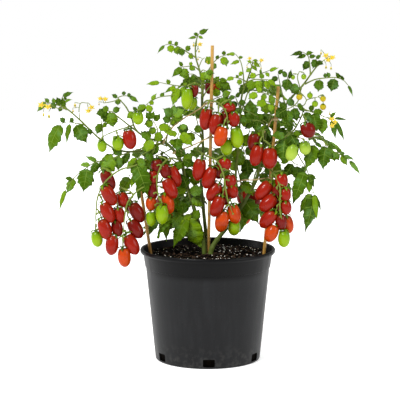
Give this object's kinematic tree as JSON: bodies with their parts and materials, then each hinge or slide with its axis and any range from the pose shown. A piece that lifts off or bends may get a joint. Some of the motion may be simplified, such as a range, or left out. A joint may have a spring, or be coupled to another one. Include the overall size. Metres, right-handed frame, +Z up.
{
  "type": "tomato plant in a pot",
  "caption": "Potted tomato plant with compound leaves, hanging trusses of long plum-shaped fruit and small star-shaped flowers, tied to upright canes in a round pot",
  "frame": {"origin": "centre of the pot's flat foot, at the floor", "axes": "+Z up, -Y the front of the plant, +X to the right of someone who looks at its front"},
  "size_m": [0.6526, 0.3453, 0.6777],
  "materials": {
    "pot": "satin",
    "soil": "matte",
    "cane": "satin",
    "raffia": "matte",
    "leafy": "satin",
    "truss": "satin",
    "fruit": "gloss",
    "petals": "satin"
  },
  "bodies": {
    "root": {"cane_centre": "cane", "cane_left": "cane", "cane_right": "cane", "flowers_far_left_1": "petals", "flowers_far_left_2": "petals", "flowers_far_right_1": "petals", "flowers_far_right_2": "petals", "flowers_far_right_3": "petals", "flowers_left_1": "petals", "flowers_left_2": "petals", "flowers_left_top_1": "petals", "flowers_left_top_2": "petals", "flowers_right_1": "petals", "flowers_right_2": "petals", "flowers_right_3": "petals", "flowers_right_a_1": "petals", "flowers_right_b_1": "petals", "flowers_top_1": "petals", "fruit_back_left": "fruit", "fruit_back_right": "fruit", "fruit_centre": "fruit", "fruit_far_left": "fruit", "fruit_far_right": "fruit", "fruit_high_back": "fruit", "fruit_high_left": "fruit", "fruit_left": "fruit", "fruit_left_inner": "fruit", "fruit_left_outer": "fruit", "fruit_mid": "fruit", "fruit_right": "fruit", "fruit_top": "fruit", "pot": "pot", "shoot_far_left": "leafy", "shoot_left": "leafy", "shoot_low_right": "leafy", "shoot_right": "leafy", "shoot_top": "leafy", "shoot_top_right": "leafy", "soil": "soil", "stem_centre": "leafy", "stem_left": "leafy", "stem_right": "leafy", "tie_left": "raffia", "tie_right": "raffia", "tie_upper_left": "raffia", "tie_upper_right": "raffia", "truss_back_left": "truss", "truss_back_right": "truss", "truss_centre": "truss", "truss_left": "truss", "truss_left_inner": "truss", "truss_left_outer": "truss", "truss_mid": "truss", "truss_right": "truss", "truss_top": "truss"}
  },
  "joints": []
}
